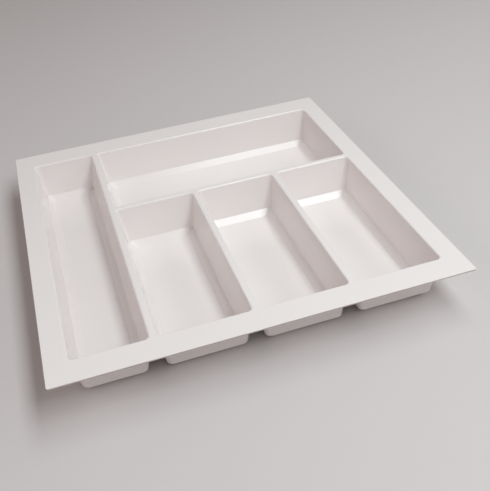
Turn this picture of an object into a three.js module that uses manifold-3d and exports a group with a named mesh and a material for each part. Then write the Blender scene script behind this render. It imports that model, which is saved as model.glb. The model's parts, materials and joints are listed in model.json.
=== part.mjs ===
// A cutlery tray insert for a kitchen drawer: one sheet of white plastic, drawn down into five
// open wells under a flat trimmed rim. The wells are one long well on the left, a wide one across
// the back and three equal ones in front of it. The dividers between the wells are hollow folds
// of the same sheet, so the tray is a single moulding.
// Millimetres, +X to the right, +Y to the back, +Z up. The origin is on the plane the wells
// stand on, under the centre of the rim.
import * as THREE from 'three';
import { mergeVertices } from 'three/addons/utils/BufferGeometryUtils.js';
import Module from 'manifold-3d';

// ---- driving dimensions ----
const trayWidth = 450;
const trayDepth = 490;
const trayHeight = 54.5;
const sheet = 2;
const rimSide = 24.5;
const rimFront = 32.5;
const rimBack = 36;
const rimCorner = 2.5;
const divider = 8;
const longWellWidth = 79.5;
const frontWellLength = 256;
const frontWellCount = 3;
const draftDegrees = 9;
const lipRadius = 2;
const wallCorner = 5;
const bevelReach = 7;
const bevelRound = 1.5;
const floorCorner = 1.5;

// ---- smoothness of the faceted solid ----
const cornerSteps = 5;
const lipSteps = 3;
const bevelSteps = 3;
const overcut = 3;

const draft = THREE.MathUtils.degToRad(draftDegrees);

// ---- plan of the wells: each is the rectangle of its wall line at the rim ----
const left = -trayWidth / 2 + rimSide;
const right = trayWidth / 2 - rimSide;
const front = -trayDepth / 2 + rimFront;
const back = trayDepth / 2 - rimBack;
const innerLeft = left + longWellWidth + divider;
const frontWellBack = front + frontWellLength;

function frontWell(index) {
  const width = (right - innerLeft - divider * (frontWellCount - 1)) / frontWellCount;
  const x0 = innerLeft + index * (width + divider);
  return { x0, x1: x0 + width, y0: front, y1: frontWellBack };
}

function wellPlans() {
  const plans = [
    { x0: left, x1: left + longWellWidth, y0: front, y1: back },
    { x0: innerLeft, x1: right, y0: frontWellBack + divider, y1: back },
  ];
  for (let index = 0; index < frontWellCount; index += 1) {
    plans.push(frontWell(index));
  }
  return plans;
}

// ---- profiles: each step is { inset, z, corner }, from the top down ----

// The floor edge is a flat bevel between the drafted wall and the floor, with a small round at each
// end. It reaches equally far up the wall and along the floor. The offset is nothing for the inner
// face and one sheet for the outer face, so the two faces stay one sheet apart.
function floorEdge(toeInset, bottom, offset) {
  const turn = Math.PI / 2 - draft;
  const radius = bevelRound + offset;
  const ease = radius * Math.tan(turn / 4);
  const reach = bevelReach + offset * (Math.tan(turn / 2) - Math.tan(turn / 4));
  const wallInset = toeInset - (reach + ease) * Math.sin(draft);
  const wallZ = bottom + (reach + ease) * Math.cos(draft);
  const floorInset = toeInset + reach + ease;
  const points = [];
  for (let i = 0; i <= bevelSteps; i += 1) {
    const angle = turn * (1 - i / (2 * bevelSteps));
    const inset = wallInset + radius * (Math.sin(turn) - Math.sin(angle));
    points.push({ inset, z: wallZ - radius * (Math.cos(angle) - Math.cos(turn)) });
  }
  for (let i = 0; i <= bevelSteps; i += 1) {
    const angle = (turn / 2) * (1 - i / bevelSteps);
    points.push({ inset: floorInset - radius * Math.sin(angle), z: bottom + radius * (1 - Math.cos(angle)) });
  }
  return points.map(({ inset, z }) => {
    const across = (inset - wallInset) / (floorInset - wallInset);
    return { inset, z, corner: offset + THREE.MathUtils.lerp(wallCorner, floorCorner, across) };
  });
}

// The inner face: a rounded lip, a drafted wall and the floor edge. The lip reaches outwards over
// the rim by the length that makes it tangent to both the rim and the wall.
function innerProfile() {
  const turn = Math.PI / 2 - draft;
  const lipReach = lipRadius * Math.tan(turn / 2);
  const steps = [{ inset: -lipReach, z: trayHeight + overcut, corner: wallCorner + lipReach }];
  for (let i = 0; i <= lipSteps; i += 1) {
    const angle = (turn * i) / lipSteps;
    const inset = -lipReach + lipRadius * Math.sin(angle);
    steps.push({ inset, z: trayHeight - lipRadius * (1 - Math.cos(angle)), corner: wallCorner - inset });
  }
  const toeInset = (trayHeight - sheet) * Math.tan(draft);
  return [...steps, ...floorEdge(toeInset, sheet, 0)];
}

// The outer face lies one sheet outside the inner face, from inside the rim down to z = 0.
function outerProfile() {
  const wallOffset = sheet / Math.cos(draft);
  const rimTop = sheet / 2;
  const inset = rimTop * Math.tan(draft) - wallOffset;
  const toeInset = trayHeight * Math.tan(draft) - wallOffset;
  return [{ inset, z: trayHeight - rimTop, corner: wallCorner + sheet }, ...floorEdge(toeInset, 0, sheet)];
}

// ---- lofted solids ----

// One ring of points round a rectangle with rounded corners, counter-clockwise from above.
function roundedRing(plan, step) {
  const { inset, z, corner } = step;
  const centres = [
    [plan.x1 - inset - corner, plan.y1 - inset - corner],
    [plan.x0 + inset + corner, plan.y1 - inset - corner],
    [plan.x0 + inset + corner, plan.y0 + inset + corner],
    [plan.x1 - inset - corner, plan.y0 + inset + corner],
  ];
  return centres.flatMap(([x, y], quarter) => {
    const points = [];
    for (let i = 0; i <= cornerSteps; i += 1) {
      const angle = (quarter + i / cornerSteps) * (Math.PI / 2);
      points.push(new THREE.Vector3(x + corner * Math.cos(angle), y + corner * Math.sin(angle), z));
    }
    return points;
  });
}

// A closed body through the rings of a profile, from its top ring down to its flat bottom.
function loft(plan, profile) {
  const rings = profile.map((step) => roundedRing(plan, step));
  const count = rings[0].length;
  const positions = rings.flat().flatMap((point) => point.toArray());
  const indices = [];
  for (let ring = 0; ring + 1 < rings.length; ring += 1) {
    for (let i = 0; i < count; i += 1) {
      const upper = ring * count + i;
      const upperNext = ring * count + ((i + 1) % count);
      const lower = upper + count;
      const lowerNext = upperNext + count;
      indices.push(upper, lower, upperNext, upperNext, lower, lowerNext);
    }
  }
  const bottom = (rings.length - 1) * count;
  for (let i = 1; i + 1 < count; i += 1) {
    indices.push(0, i, i + 1);
    indices.push(bottom, bottom + i + 1, bottom + i);
  }
  const geometry = new THREE.BufferGeometry();
  geometry.setAttribute('position', new THREE.Float32BufferAttribute(positions, 3));
  geometry.setIndex(indices);
  return geometry;
}

function rimPlate() {
  const plan = { x0: -trayWidth / 2, x1: trayWidth / 2, y0: -trayDepth / 2, y1: trayDepth / 2 };
  const top = { inset: 0, z: trayHeight, corner: rimCorner };
  const underside = { inset: 0, z: trayHeight - sheet, corner: rimCorner };
  return loft(plan, [top, underside]);
}

// ---- joining and cutting ----
const wasm = await Module();
wasm.setup();

function toSolid(geometry) {
  const merged = mergeVertices(geometry);
  return new wasm.Manifold(new wasm.Mesh({
    numProp: 3,
    vertProperties: new Float32Array(merged.attributes.position.array),
    triVerts: new Uint32Array(merged.index.array),
  }));
}

function toGeometry(solid) {
  const mesh = solid.getMesh();
  const geometry = new THREE.BufferGeometry();
  geometry.setAttribute('position', new THREE.Float32BufferAttribute(mesh.vertProperties, 3));
  geometry.setIndex(Array.from(mesh.triVerts));
  geometry.computeVertexNormals();
  return geometry;
}

function trayGeometry() {
  const plans = wellPlans();
  let solid = toSolid(rimPlate());
  for (const plan of plans) {
    solid = solid.add(toSolid(loft(plan, outerProfile())));
  }
  for (const plan of plans) {
    solid = solid.subtract(toSolid(loft(plan, innerProfile())));
  }
  return toGeometry(solid);
}

// ---- the object ----
const whitePlastic = new THREE.MeshStandardMaterial({ color: 0xe6e1df, roughness: 0.32, metalness: 0 });

const tray = new THREE.Mesh(trayGeometry(), whitePlastic);
tray.name = 'tray_moulding';

const cutleryTray = new THREE.Group();
cutleryTray.add(tray);

export default cutleryTray;
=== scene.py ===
"""Looks of a one-piece plastic cutlery tray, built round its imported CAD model.

The formed sheet is remade as one fine closed surface: smooth lips and floor edges, slightly uneven
floors and rim, and a trimmed edge, with a satin moulded plastic. Everything is in metres.
"""
import json
import math
import bpy
import bmesh
from mathutils import Matrix, Vector, noise
from mathutils.geometry import area_tri, delaunay_2d_cdt


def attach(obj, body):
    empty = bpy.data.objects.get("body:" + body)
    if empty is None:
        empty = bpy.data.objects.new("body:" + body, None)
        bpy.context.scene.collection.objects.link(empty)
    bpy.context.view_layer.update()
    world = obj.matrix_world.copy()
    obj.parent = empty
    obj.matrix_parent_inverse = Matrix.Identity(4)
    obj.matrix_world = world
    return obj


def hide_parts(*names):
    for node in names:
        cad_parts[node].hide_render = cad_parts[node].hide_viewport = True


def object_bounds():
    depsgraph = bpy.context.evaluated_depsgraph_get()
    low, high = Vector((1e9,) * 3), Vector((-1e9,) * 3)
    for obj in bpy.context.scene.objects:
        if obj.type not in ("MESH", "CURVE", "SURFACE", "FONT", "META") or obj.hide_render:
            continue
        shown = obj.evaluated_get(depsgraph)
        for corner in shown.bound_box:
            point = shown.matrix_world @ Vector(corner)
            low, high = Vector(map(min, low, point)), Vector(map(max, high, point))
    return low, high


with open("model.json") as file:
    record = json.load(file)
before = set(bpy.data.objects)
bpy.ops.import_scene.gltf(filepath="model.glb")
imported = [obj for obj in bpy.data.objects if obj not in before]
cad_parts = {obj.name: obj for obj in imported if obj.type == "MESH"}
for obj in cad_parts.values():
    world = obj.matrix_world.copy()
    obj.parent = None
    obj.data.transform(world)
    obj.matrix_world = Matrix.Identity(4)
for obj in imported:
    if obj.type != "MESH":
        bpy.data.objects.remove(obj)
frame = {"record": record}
cad_low, cad_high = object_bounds()

MM = 0.001
NODE = "tray_moulding"

# ---- the formed sheet, as the CAD model has it ----
SHEET = 2.0 * MM
DRAFT = math.radians(9)
LIP_RADIUS = 2.0 * MM
WALL_CORNER = 5.0 * MM
BEVEL_REACH = 7.0 * MM           # how far the floor bevel runs up the wall and along the floor
BEVEL_ROUND = 1.5 * MM
RIM_CORNER = 2.5 * MM
OPENING_GAP = 5.2 * MM          # from a well's wall line at the rim in to its upper opening box

# ---- finer shape that only the looks have ----
UNDER_LIP = 0.6 * MM            # round between the rim's underside and a well's outer wall
EDGE_ROUND = 0.45 * MM          # the rim's top edge, rounded where it was trimmed
EDGE_BREAK = 0.15 * MM
TRIM_SLOPE = 0.5 * MM           # how far the trimmed edge leans in by its bottom
SUPPORT = 0.35 * MM             # narrow flat band beside each round, which keeps the shading clean
FLOOR_CORNER = 2.5 * MM         # plan corner of the floor, a little rounder than in the CAD model
RIM_WARP = 0.22 * MM
WARP_PITCH = 160 * MM
WARP_SEED = 3.1
WARP_START = 0.5                 # share of the tray's height from which the rim's waviness sets in
FLOOR_CROWN = 0.45 * MM
CROWN_PITCH = 90 * MM
CROWN_SEED = 7.7
CROWN_END = 0.35                 # share of the tray's height at which the floor's crown has died out
CROWN_EDGE = (12 * MM, 45 * MM)  # from a well's wall line in: where the crown starts, and where it is full
CROWN_MEAN, CROWN_SPREAD = 0.6, 0.8

# ---- mesh density ----
CORNER_STEPS = 8
LIP_STEPS = 8
WALL_STEPS = 6
BEVEL_ROUND_STEPS = 5
BEVEL_STEPS = 4
BEVEL_SUPPORT = 0.06             # narrow bands at both ends of the bevel, as a share of its width
FLOOR_STEPS = 9
RIM_EDGE_STEPS = 4
SIDE_PITCH = 8.0 * MM
RIM_PITCH = 10.0 * MM

WELD = 1e-6                      # points closer than this, in metres, are one point
TINY = 1e-9                      # the area, in square metres, under which a triangle is a sliver

TURN = math.pi / 2 - DRAFT       # how far the sheet turns between the flat rim and a drafted wall
# the trimmed edge's slot carries a darker tone, which is painted shade
CUT_EDGE_SHADED_SLOT = 1                     # the material slot of the trimmed edge
TOP = cad_high.z
BASE = cad_low.z


# ---------------------------------------------------------------- plan of the tray

class Plan:
    """A rectangle in plan, as the wall line of a well at the rim or as the rim's own outline."""

    def __init__(self, x0, x1, y0, y1):
        self.x0, self.x1, self.y0, self.y1 = x0, x1, y0, y1

    def depth_inside(self, x, y):
        """How far a point lies inside the rectangle, negative outside."""
        return min(x - self.x0, self.x1 - x, y - self.y0, self.y1 - y)

    def centre(self):
        return (self.x0 + self.x1) / 2, (self.y0 + self.y1) / 2


def well_plans():
    """Each well's wall line, worked out from the opening box that the record states for it."""
    plans = {}
    for opening in frame["record"]["physics"]["openings"]:
        name, level = opening["name"].rsplit("_", 1)
        if level == "upper":
            low, high = opening["box_m"]
            plans[name] = Plan(
                low[0] - OPENING_GAP, high[0] + OPENING_GAP, low[1] - OPENING_GAP, high[1] + OPENING_GAP
            )
    return plans


RIM = Plan(cad_low.x, cad_high.x, cad_low.y, cad_high.y)
WELLS = well_plans()


# ---------------------------------------------------------------- sections: (inset, z, corner) steps

def lerp(a, b, t):
    return a + (b - a) * t


def smoothstep(low, high, value):
    t = min(1.0, max(0.0, (value - low) / (high - low)))
    return t * t * (3 - 2 * t)


def lip_steps(radius, reach, top, corner):
    """A round from the flat rim over into the drafted wall."""
    steps = []
    for i in range(LIP_STEPS + 1):
        angle = TURN * i / LIP_STEPS
        inset = -reach + radius * math.sin(angle)
        steps.append((inset, top - radius * (1 - math.cos(angle)), corner - inset))
    return steps


def floor_edge_steps(toe, bottom, offset):
    """The flat bevel between the drafted wall and the floor, with a small round at each end.

    The offset is nothing for the inner face and one sheet for the outer face.
    """
    radius = BEVEL_ROUND + offset
    ease = radius * math.tan(TURN / 4)
    reach = BEVEL_REACH + offset * (math.tan(TURN / 2) - math.tan(TURN / 4))
    wall_inset = toe - (reach + ease) * math.sin(DRAFT)
    wall_z = bottom + (reach + ease) * math.cos(DRAFT)
    floor_inset = toe + reach + ease
    points = []
    for i in range(BEVEL_ROUND_STEPS + 1):
        angle = TURN * (1 - i / (2 * BEVEL_ROUND_STEPS))
        inset = wall_inset + radius * (math.sin(TURN) - math.sin(angle))
        points.append((inset, wall_z - radius * (math.cos(angle) - math.cos(TURN))))
    foot = (floor_inset - radius * math.sin(TURN / 2), bottom + radius * (1 - math.cos(TURN / 2)))
    head = points[-1]
    shares = [BEVEL_SUPPORT] + [i / BEVEL_STEPS for i in range(1, BEVEL_STEPS)] + [1 - BEVEL_SUPPORT]
    points += [(lerp(head[0], foot[0], t), lerp(head[1], foot[1], t)) for t in shares]
    for i in range(BEVEL_ROUND_STEPS + 1):
        angle = TURN / 2 * (1 - i / BEVEL_ROUND_STEPS)
        points.append((floor_inset - radius * math.sin(angle), bottom + radius * (1 - math.cos(angle))))
    steps = []
    for inset, z in points:
        across = (inset - wall_inset) / (floor_inset - wall_inset)
        steps.append((inset, z, offset + lerp(WALL_CORNER, FLOOR_CORNER, across)))
    return steps


def wall_steps(upper, lower):
    """Rings between the lip and the floor edge, with a narrow band at each end."""
    drop = upper[1] - lower[1]
    shares = [SUPPORT / drop]
    shares += [i / WALL_STEPS for i in range(1, WALL_STEPS)]
    shares.append(1 - SUPPORT / drop)
    return [tuple(lerp(a, b, t) for a, b in zip(upper, lower)) for t in shares]


def section(lip_radius, lip_top, lip_corner, lip_shift, toe, offset, bottom):
    """One face of a well, from its narrow band on the rim down to the edge of the flat floor.

    The shift moves the lip outwards from the wall line, and the toe is where the wall, carried
    down straight, would meet the floor.
    """
    reach = lip_radius * math.tan(TURN / 2)
    lip = lip_steps(lip_radius, reach + lip_shift, lip_top, lip_corner)
    edge = floor_edge_steps(toe, bottom, offset)
    start = lip[0]
    band = (start[0] - SUPPORT, start[1], start[2] + SUPPORT)
    return [band] + lip + wall_steps(lip[-1], edge[0]) + edge


def inner_section():
    toe = (TOP - BASE - SHEET) * math.tan(DRAFT)
    return section(LIP_RADIUS, TOP, WALL_CORNER, 0.0, toe, 0.0, BASE + SHEET)


def outer_section():
    offset = SHEET / math.cos(DRAFT)
    rim_inset = SHEET * math.tan(DRAFT) - offset
    toe = (TOP - BASE) * math.tan(DRAFT) - offset
    return section(UNDER_LIP, TOP - SHEET, WALL_CORNER + SHEET, -rim_inset, toe, SHEET, BASE)


# ---------------------------------------------------------------- rings and surfaces

def ring_points(plan, step, counts):
    """Points round a rounded rectangle, counter-clockwise, with extra points along its straight sides."""
    inset, z, corner = step
    x0, x1 = plan.x0 + inset + corner, plan.x1 - inset - corner
    y0, y1 = plan.y0 + inset + corner, plan.y1 - inset - corner
    centres = [(x1, y1), (x0, y1), (x0, y0), (x1, y0)]
    arcs = []
    for quarter, (x, y) in enumerate(centres):
        angles = [(quarter + i / CORNER_STEPS) * math.pi / 2 for i in range(CORNER_STEPS + 1)]
        arcs.append([Vector((x + corner * math.cos(a), y + corner * math.sin(a), z)) for a in angles])
    points = []
    for quarter, arc in enumerate(arcs):
        count = counts[quarter % 2]
        start, end = arc[-1], arcs[(quarter + 1) % 4][0]
        points += arc
        points += [start.lerp(end, i / count) for i in range(1, count)]
    return points


def side_counts(plan):
    """How many steps the straight sides take: those along X, then those along Y."""
    return (
        max(2, round((plan.x1 - plan.x0) / SIDE_PITCH)),
        max(2, round((plan.y1 - plan.y0) / SIDE_PITCH)),
    )


def add_ring(mesh, points):
    return [mesh.verts.new(p) for p in points]


def bridge(mesh, upper, lower):
    """Joins two rings with a band of faces, and returns the faces."""
    count = len(upper)
    faces = []
    for i in range(count):
        j = (i + 1) % count
        faces.append(mesh.faces.new((upper[i], lower[i], lower[j], upper[j])))
    return faces


def close_floor(mesh, plan, edge_points, edge_ring):
    """The flat floor: rings that shrink on its centre, and one small face in the middle."""
    x, y = plan.centre()
    centre = Vector((x, y, edge_points[0].z))
    ring = edge_ring
    inner = (edge_points[0] - centre).length
    shares = [1 - SUPPORT / inner]
    shares += [1 - i / FLOOR_STEPS for i in range(1, FLOOR_STEPS)]
    for share in shares:
        following = add_ring(mesh, [centre.lerp(p, share) for p in edge_points])
        bridge(mesh, ring, following)
        ring = following
    hub = mesh.verts.new(centre)
    for i, vertex in enumerate(ring):
        mesh.faces.new((vertex, hub, ring[(i + 1) % len(ring)]))


def add_well(mesh, plan, steps):
    """One face of a well. Returns the points of its first ring, which lies in the rim."""
    counts = side_counts(plan)
    rings = [ring_points(plan, step, counts) for step in steps]
    vertices = [add_ring(mesh, points) for points in rings]
    for upper, lower in zip(vertices, vertices[1:]):
        bridge(mesh, upper, lower)
    close_floor(mesh, plan, rings[-1], vertices[-1])
    return rings[0]


def add_rim_edge(mesh):
    """The trimmed edge of the rim, from its top to its underside. Returns its first and last points."""
    steps = [(EDGE_ROUND + SUPPORT, TOP, RIM_CORNER)]
    for i in range(RIM_EDGE_STEPS + 1):
        angle = math.pi / 2 * i / RIM_EDGE_STEPS
        inset = EDGE_ROUND * (1 - math.sin(angle))
        steps.append((inset, TOP - EDGE_ROUND * (1 - math.cos(angle)), RIM_CORNER))
    bottom_inset = TRIM_SLOPE + EDGE_BREAK
    steps.append((TRIM_SLOPE, TOP - SHEET + EDGE_BREAK, RIM_CORNER))
    steps.append((bottom_inset, TOP - SHEET, RIM_CORNER))
    steps.append((bottom_inset + SUPPORT, TOP - SHEET, RIM_CORNER))
    counts = side_counts(RIM)
    rings = [ring_points(RIM, step, counts) for step in steps]
    vertices = [add_ring(mesh, points) for points in rings]
    for upper, lower in zip(vertices, vertices[1:]):
        faces = bridge(mesh, upper, lower)
        # the cut face gets the edge material, whose darker tone is painted shade
        if upper[0].co.z < TOP and upper[0].co.z > lower[0].co.z:
            for face in faces:
                face.material_index = CUT_EDGE_SHADED_SLOT
    return rings[0], rings[-1]


def rim_grid(wells_reach):
    """Grid points on the rim's flat, clear of its outline and of every well."""
    points = []
    columns = round((RIM.x1 - RIM.x0) / RIM_PITCH)
    rows = round((RIM.y1 - RIM.y0) / RIM_PITCH)
    clear = RIM_PITCH / 2
    for column in range(1, columns):
        for row in range(1, rows):
            x = lerp(RIM.x0, RIM.x1, column / columns)
            y = lerp(RIM.y0, RIM.y1, row / rows)
            near_well = any(plan.depth_inside(x, y) > -wells_reach - clear for plan in WELLS.values())
            if RIM.depth_inside(x, y) > clear and not near_well:
                points.append(Vector((x, y)))
    return points


def add_rim_flat(mesh, outline, well_loops, z, reach):
    """One face of the flat rim: triangles between its outline and the wells' first rings."""
    points, edges = [], []
    for loop in [outline] + well_loops:
        first = len(points)
        points += [p.to_2d() for p in loop]
        edges += [(first + i, first + (i + 1) % len(loop)) for i in range(len(loop))]
    points += rim_grid(reach)
    flat = delaunay_2d_cdt(points, edges, [], 0, TINY)
    vertices = [mesh.verts.new((p.x, p.y, z)) for p in flat[0]]
    for face in flat[2]:
        a, b, c = (flat[0][i] for i in face)
        x, y = (a + b + c) / 3
        sliver = area_tri(a, b, c) < TINY
        if not sliver and not any(inside_loop(x, y, loop) for loop in well_loops):
            mesh.faces.new([vertices[i] for i in face])


def inside_loop(x, y, loop):
    """Whether a point lies inside a closed convex loop that runs counter-clockwise."""
    following = loop[1:] + loop[:1]
    return all((b.x - a.x) * (y - a.y) - (b.y - a.y) * (x - a.x) > 0 for a, b in zip(loop, following))


# ---------------------------------------------------------------- the unevenness of a formed sheet

def soft_noise(x, y, pitch, seed):
    return noise.noise(Vector((x / pitch, y / pitch, seed)))


def settle(point):
    """Where a point of the ideal tray lies on the real one: a slightly wavy rim and crowned floors."""
    x, y, z = point
    height = (z - BASE) / (TOP - BASE)
    rim_share = smoothstep(WARP_START, 1.0, height)
    lift = RIM_WARP * rim_share * soft_noise(x, y, WARP_PITCH, WARP_SEED)
    for plan in WELLS.values():
        inside = plan.depth_inside(x, y)
        if inside > 0:
            floor_share = (1 - smoothstep(0.0, CROWN_END, height)) * smoothstep(*CROWN_EDGE, inside)
            unevenness = CROWN_MEAN + CROWN_SPREAD * soft_noise(x, y, CROWN_PITCH, CROWN_SEED)
            lift += FLOOR_CROWN * floor_share * unevenness
    return Vector((x, y, z + lift))


# ---------------------------------------------------------------- the tray

def build_tray():
    mesh = bmesh.new()
    inner, outer = inner_section(), outer_section()
    inner_loops = [add_well(mesh, plan, inner) for plan in WELLS.values()]
    outer_loops = [add_well(mesh, plan, outer) for plan in WELLS.values()]
    top_outline, under_outline = add_rim_edge(mesh)
    add_rim_flat(mesh, top_outline, inner_loops, TOP, -inner[0][0])
    add_rim_flat(mesh, under_outline, outer_loops, TOP - SHEET, -outer[0][0])
    bmesh.ops.remove_doubles(mesh, verts=mesh.verts, dist=WELD)
    for vertex in mesh.verts:
        vertex.co = settle(vertex.co)
    bmesh.ops.recalc_face_normals(mesh, faces=mesh.faces)
    open_edges = sum(1 for edge in mesh.edges if not edge.is_manifold)
    if open_edges:
        raise RuntimeError(f"the tray's surface has {open_edges} open edges")
    for face in mesh.faces:
        face.smooth = True
    data = bpy.data.meshes.new("tray")
    mesh.to_mesh(data)
    mesh.free()
    tray = bpy.data.objects.new("tray", data)
    bpy.context.scene.collection.objects.link(tray)
    return tray


# ---------------------------------------------------------------- materials

PLASTIC_TONES = ((0.842, 0.782, 0.770), (0.852, 0.792, 0.780))
# painted shade: the trimmed edge's tones are darker than the plastic to stand in for shade on the cut face
CUT_EDGE_SHADE_TONES = ((0.50, 0.43, 0.42), (0.58, 0.51, 0.50))
FLOOR_TONES = ((0.60, 0.557, 0.552), (0.62, 0.577, 0.572))
NOISE_RANGE = (0.3, 0.7)         # nearly all of a noise node's values lie between these
SKIN_HEIGHT = 0.0002


def new_material(name):
    """A material, its node tree, its shader, and the object's own coordinates."""
    material = bpy.data.materials.new(name)
    material.use_nodes = True
    tree = material.node_tree
    place = tree.nodes.new("ShaderNodeTexCoord").outputs["Object"]
    return material, tree, tree.nodes["Principled BSDF"], place


def add_noise(tree, place, scale, detail):
    node = tree.nodes.new("ShaderNodeTexNoise")
    node.inputs["Scale"].default_value = scale
    node.inputs["Detail"].default_value = detail
    tree.links.new(place, node.inputs["Vector"])
    return node.outputs["Fac"]


def map_range(tree, value, low, high):
    node = tree.nodes.new("ShaderNodeMapRange")
    node.inputs["From Min"].default_value = NOISE_RANGE[0]
    node.inputs["From Max"].default_value = NOISE_RANGE[1]
    node.inputs["To Min"].default_value = low
    node.inputs["To Max"].default_value = high
    tree.links.new(value, node.inputs["Value"])
    return node.outputs["Result"]


def mix_tones(tree, shader, tones, factor):
    mix = tree.nodes.new("ShaderNodeMix")
    mix.data_type = "RGBA"
    mix.inputs["A"].default_value = (*tones[0], 1)
    mix.inputs["B"].default_value = (*tones[1], 1)
    tree.links.new(factor, mix.inputs["Factor"])
    tree.links.new(mix.outputs["Result"], shader.inputs["Base Color"])


def add_bump(tree, shader, height, strength):
    bump = tree.nodes.new("ShaderNodeBump")
    bump.inputs["Strength"].default_value = strength
    bump.inputs["Distance"].default_value = SKIN_HEIGHT
    tree.links.new(height, bump.inputs["Height"])
    tree.links.new(bump.outputs["Normal"], shader.inputs["Normal"])


def moulded_plastic():
    """Warm white satin plastic: faint colour clouding, uneven gloss and a very fine skin."""
    material, tree, shader, place = new_material("white_moulded_plastic")
    clouds = add_noise(tree, place, scale=9.0, detail=3.0)
    gloss = add_noise(tree, place, scale=24.0, detail=2.0)
    skin = add_noise(tree, place, scale=900.0, detail=2.0)
    mix_tones(tree, shader, PLASTIC_TONES, map_range(tree, clouds, 0, 1))
    tree.links.new(map_range(tree, gloss, 0.18, 0.205), shader.inputs["Roughness"])
    add_bump(tree, shader, skin, strength=0.05)
    shader.inputs["IOR"].default_value = 1.5
    return material


def cut_plastic_painted_shade():
    """The trimmed edge: the same plastic, duller, with fine cutting marks; its darker tone is painted
    shade along the edge.
    """
    material, tree, shader, place = new_material("cut_plastic_edge")
    clouds = add_noise(tree, place, scale=60.0, detail=2.0)
    marks = add_noise(tree, place, scale=500.0, detail=2.0)
    mix_tones(tree, shader, CUT_EDGE_SHADE_TONES, map_range(tree, clouds, 0, 1))
    tree.links.new(map_range(tree, marks, 0.5, 0.62), shader.inputs["Roughness"])
    add_bump(tree, shader, marks, strength=0.15)
    return material


def studio_floor_material():
    """A plain pale matt floor."""
    material, tree, shader, place = new_material("studio_floor_paint")
    clouds = add_noise(tree, place, scale=1.5, detail=2.0)
    mix_tones(tree, shader, FLOOR_TONES, clouds)
    shader.inputs["Roughness"].default_value = 0.9
    return material


# ---------------------------------------------------------------- studio

CAMERA_AZIMUTH = math.radians(-15.585)
CAMERA_ELEVATION = math.radians(33.222)
CAMERA_ROLL = math.radians(5.34)
CAMERA_DISTANCE = 0.923
CAMERA_AIM = Vector((0.0496, -0.0702, TOP))
CAMERA_LENS = 57.28
CAMERA_SHIFT = (-0.0448, -0.0418)
CAMERA_CLIP = (0.01, 50)
FLOOR_HALF = 25.0
DOWN = (0, 0, -1)
BACKWARDS = (0, 1, 0)
RIGHTWARDS = (1, 0, 0)
LEFTWARDS = (-1, 0, 0)
COOL = (0.90, 0.99, 1.0)
WARM = (1.0, 0.91, 0.89)


def direction(azimuth, elevation):
    """The direction from the object towards a viewer or a light. Azimuth 0 is the front, -Y."""
    flat = math.cos(elevation)
    return Vector((math.sin(azimuth) * flat, -math.cos(azimuth) * flat, math.sin(elevation)))


def add_camera():
    data = bpy.data.cameras.new("camera")
    data.lens = CAMERA_LENS
    data.shift_x, data.shift_y = CAMERA_SHIFT
    data.clip_start, data.clip_end = CAMERA_CLIP
    camera = bpy.data.objects.new("camera", data)
    bpy.context.scene.collection.objects.link(camera)
    back = direction(CAMERA_AZIMUTH, CAMERA_ELEVATION)
    turn = (-back).to_track_quat("-Z", "Y").to_matrix() @ Matrix.Rotation(-CAMERA_ROLL, 3, "Z")
    camera.matrix_world = Matrix.Translation(CAMERA_AIM + back * CAMERA_DISTANCE) @ turn.to_4x4()
    bpy.context.scene.camera = camera


def add_panel(name, centre, facing, size, glow, tint):
    """A soft rectangular light. Its glow is its brightness, where 1 would show as white."""
    data = bpy.data.lights.new(name, "AREA")
    data.shape = "RECTANGLE"
    data.size, data.size_y = size
    data.energy = math.pi * size[0] * size[1] * glow
    data.color = tint
    lamp = bpy.data.objects.new(name, data)
    bpy.context.scene.collection.objects.link(lamp)
    lamp.location = centre
    lamp.rotation_mode = "QUATERNION"
    lamp.rotation_quaternion = Vector(facing).to_track_quat("-Z", "Y")


def add_world(strength):
    world = bpy.data.worlds.new("studio")
    bpy.context.scene.world = world
    world.use_nodes = True
    background = world.node_tree.nodes["Background"]
    background.inputs["Color"].default_value = (*WARM, 1)
    background.inputs["Strength"].default_value = strength


def add_floor():
    mesh = bmesh.new()
    bmesh.ops.create_grid(mesh, x_segments=8, y_segments=8, size=FLOOR_HALF)
    data = bpy.data.meshes.new("studio_floor")
    mesh.to_mesh(data)
    mesh.free()
    floor = bpy.data.objects.new("studio_floor", data)
    floor.location.z = BASE
    bpy.context.scene.collection.objects.link(floor)
    floor.data.materials.append(studio_floor_material())


tray = build_tray()
tray.data.materials.append(moulded_plastic())
tray.data.materials.append(cut_plastic_painted_shade())
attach(tray, "root")
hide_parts(NODE)

add_floor()
add_world(strength=0.265)
add_panel("overhead_strip", (0.66, -1.3, 1.9), DOWN, size=(0.68, 1.4), glow=7.4, tint=COOL)
add_panel("overhead_back", (0.66, 0.1, 1.9), DOWN, size=(0.68, 1.4), glow=3.6, tint=COOL)
add_panel("overhead_front", (0.55, -2.0, 1.88), DOWN, size=(0.60, 1.0), glow=7.0, tint=COOL)
add_panel("front_panel", (-0.2, -2.5, 1.5), BACKWARDS, size=(1.6, 0.8), glow=0.7, tint=COOL)
add_panel("left_fill", (-2.0, -0.25, 1.4), RIGHTWARDS, size=(4.5, 1.1), glow=0.78, tint=WARM)
add_panel("right_fill", (2.0, -0.25, 1.4), LEFTWARDS, size=(4.5, 1.1), glow=0.75, tint=COOL)
add_camera()
bpy.context.scene.view_settings.view_transform = "Standard"
